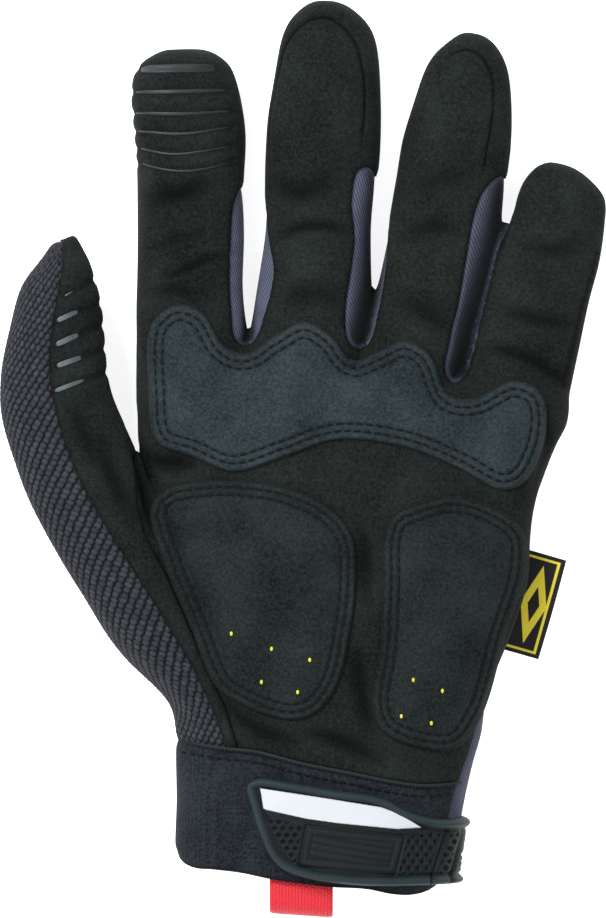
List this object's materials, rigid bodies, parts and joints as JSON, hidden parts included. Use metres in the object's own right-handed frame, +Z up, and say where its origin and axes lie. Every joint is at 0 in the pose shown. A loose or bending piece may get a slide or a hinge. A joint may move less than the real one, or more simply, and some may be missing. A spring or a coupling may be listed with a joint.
{
  "type": "mechanic glove",
  "caption": "Left-hand work glove lying palm up, with padded suede palm, knitted thumb, grip grooves, elastic cuff, moulded wrist tab and pull loop.",
  "frame": {"origin": "under the middle of the whole glove's box, on the surface that the back of the glove lies on", "axes": "+Z up out of the palm, +Y from the wrist to the fingertips, +X towards the little finger"},
  "size_m": [0.1692, 0.257, 0.0385],
  "materials": {
    "palm_suede": "fine black suede, matt",
    "back_fabric": "grey stretch twill",
    "side_wall_fabric": "grey stretch twill with a diagonal rib",
    "thumb_knit": "chunky padded knit",
    "cuff_elastic": "fine knitted elastic",
    "knuckle_suede": "slate blue-grey suede, matt",
    "heel_suede": "fine black suede over foam",
    "closure_rubber": "moulded rubber, satin, dimpled",
    "closure_panel": "bare white film, smooth",
    "loop_webbing": "woven red webbing",
    "tag_weave": "black woven satin with a plain yellow frame"
  },
  "bodies": {
    "root": {"palm_leather": "palm_suede", "thumb_leather": "palm_suede", "back_panel": "back_fabric", "fourchette_index_middle": "side_wall_fabric", "fourchette_middle_ring": "side_wall_fabric", "fourchette_ring_little": "side_wall_fabric", "thumb_knit": "thumb_knit", "cuff": "cuff_elastic", "knuckle_pad": "knuckle_suede", "thenar_pad": "heel_suede", "hypothenar_pad": "heel_suede", "closure_tab": "closure_rubber", "closure_panel": "closure_panel", "closure_plaque": "closure_rubber", "pull_loop": "loop_webbing", "side_tag": "tag_weave"}
  },
  "joints": []
}
